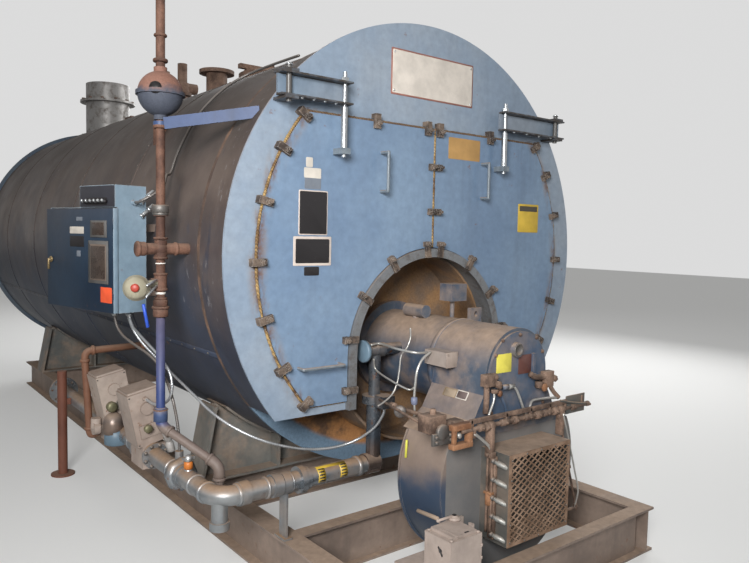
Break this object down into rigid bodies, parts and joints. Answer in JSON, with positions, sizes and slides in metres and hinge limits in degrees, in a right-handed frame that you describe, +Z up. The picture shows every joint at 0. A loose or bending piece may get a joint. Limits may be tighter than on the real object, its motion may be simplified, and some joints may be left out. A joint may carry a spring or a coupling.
{
  "type": "industrial boiler",
  "caption": "Horizontal fire-tube steam boiler with davit-hung front doors, a gas burner in a front arch, its gas line, water column and control cabinet, on a steel skid.",
  "frame": {"origin": "on the floor, on the boiler's centre line, under the front plate's front face", "axes": "+X to the right as seen from the front, +Y from the front to the rear, +Z up"},
  "size_m": [2.7899, 6.725, 3.27],
  "materials": {
    "front_paint": "faded and dusty",
    "burner_paint": "satin, dusty",
    "jacket_paint": "matte, under brown dust",
    "dark_steel": "matte, worn",
    "grey_paint": "satin",
    "beige_paint": "satin",
    "oxide_paint": "worn, rusty",
    "cabinet_side": "satin",
    "cabinet_face": "satin",
    "worn_steel": "dull",
    "rusty_steel": "rusty",
    "rusty_iron": "rusty, dusty",
    "rope_seal": "woven rope",
    "refractory": "rough castable",
    "conduit_zinc": "dull zinc"
  },
  "bodies": {
    "boiler": {"skid_beam_left": "dark_steel", "skid_beam_right": "dark_steel", "skid_cross_members": "dark_steel", "front_saddle": "dark_steel", "rear_saddle": "dark_steel", "shell_jacket": "jacket_paint", "front_tube_sheet": "rusty_steel", "smokebox_casing": "jacket_paint", "front_plate": "front_paint", "burner_throat": "worn_steel", "furnace_liner": "refractory", "davit_brackets": "front_paint", "burner_housing": "burner_paint", "burner_cover": "burner_paint", "blower_scroll": "burner_paint", "blower_motor": "burner_paint", "air_box": "burner_paint", "air_box_grille": "worn_steel", "damper_linkage": "rusty_steel", "jackshaft": "worn_steel", "modulating_motor": "grey_paint", "fuel_valve": "rusty_steel", "junction_box": "grey_paint", "gas_pipe": "grey_paint", "front_gas_valve": "beige_paint", "rear_gas_valve": "beige_paint", "gas_riser": "grey_paint", "bleed_loop": "oxide_paint", "gas_line_post": "oxide_paint", "water_column": "rusty_iron", "float_chamber": "rusty_iron", "level_switch": "worn_steel", "column_bar": "burner_paint", "column_drain": "burner_paint", "cabinet_box": "cabinet_side", "cabinet_bracket": "dark_steel", "rear_casing": "jacket_paint", "rear_plate": "burner_paint", "flue_collar": "rusty_steel", "steam_nozzle": "rusty_steel", "top_fittings": "rusty_steel", "cabinet_conduit": "conduit_zinc", "valve_conduit": "conduit_zinc", "burner_conduit": "conduit_zinc", "jacket_conduit": "conduit_zinc"},
    "left_davit": {"left_davit_arm": "front_paint"},
    "left_smokebox_door": {"left_door": "front_paint", "left_door_gasket": "rope_seal", "left_door_dogs": "rusty_steel"},
    "right_davit": {"right_davit_arm": "front_paint"},
    "right_smokebox_door": {"right_door": "front_paint", "right_door_gasket": "rope_seal", "right_door_dogs": "rusty_steel"},
    "cabinet_front": {"cabinet_door": "cabinet_face"}
  },
  "joints": [
    {"name": "left_davit_turn", "type": "hinge", "parent": "boiler", "child": "left_davit", "pos_m": [-0.93, -0.075, 2.307], "axis": [0, 0, -1], "range_deg": [0, 100]},
    {"name": "left_door_turn", "type": "hinge", "parent": "left_davit", "child": "left_smokebox_door", "pos_m": [-0.63, -0.075, 2.307], "axis": [0, 0, -1], "range_deg": [-100, 0]},
    {"name": "right_davit_turn", "type": "hinge", "parent": "boiler", "child": "right_davit", "pos_m": [0.93, -0.075, 2.307], "axis": [0, 0, 1], "range_deg": [0, 100]},
    {"name": "right_door_turn", "type": "hinge", "parent": "right_davit", "child": "right_smokebox_door", "pos_m": [0.48, -0.075, 2.307], "axis": [0, 0, 1], "range_deg": [-100, 0]},
    {"name": "cabinet_door_turn", "type": "hinge", "parent": "boiler", "child": "cabinet_front", "pos_m": [-1.42, 0.755, 1.505], "axis": [0, 0, 1], "range_deg": [0, 110]}
  ],
  "couplings": [
    {"joint": "left_door_turn", "follows": "left_davit_turn", "ratio": -1},
    {"joint": "right_door_turn", "follows": "right_davit_turn", "ratio": -1}
  ]
}
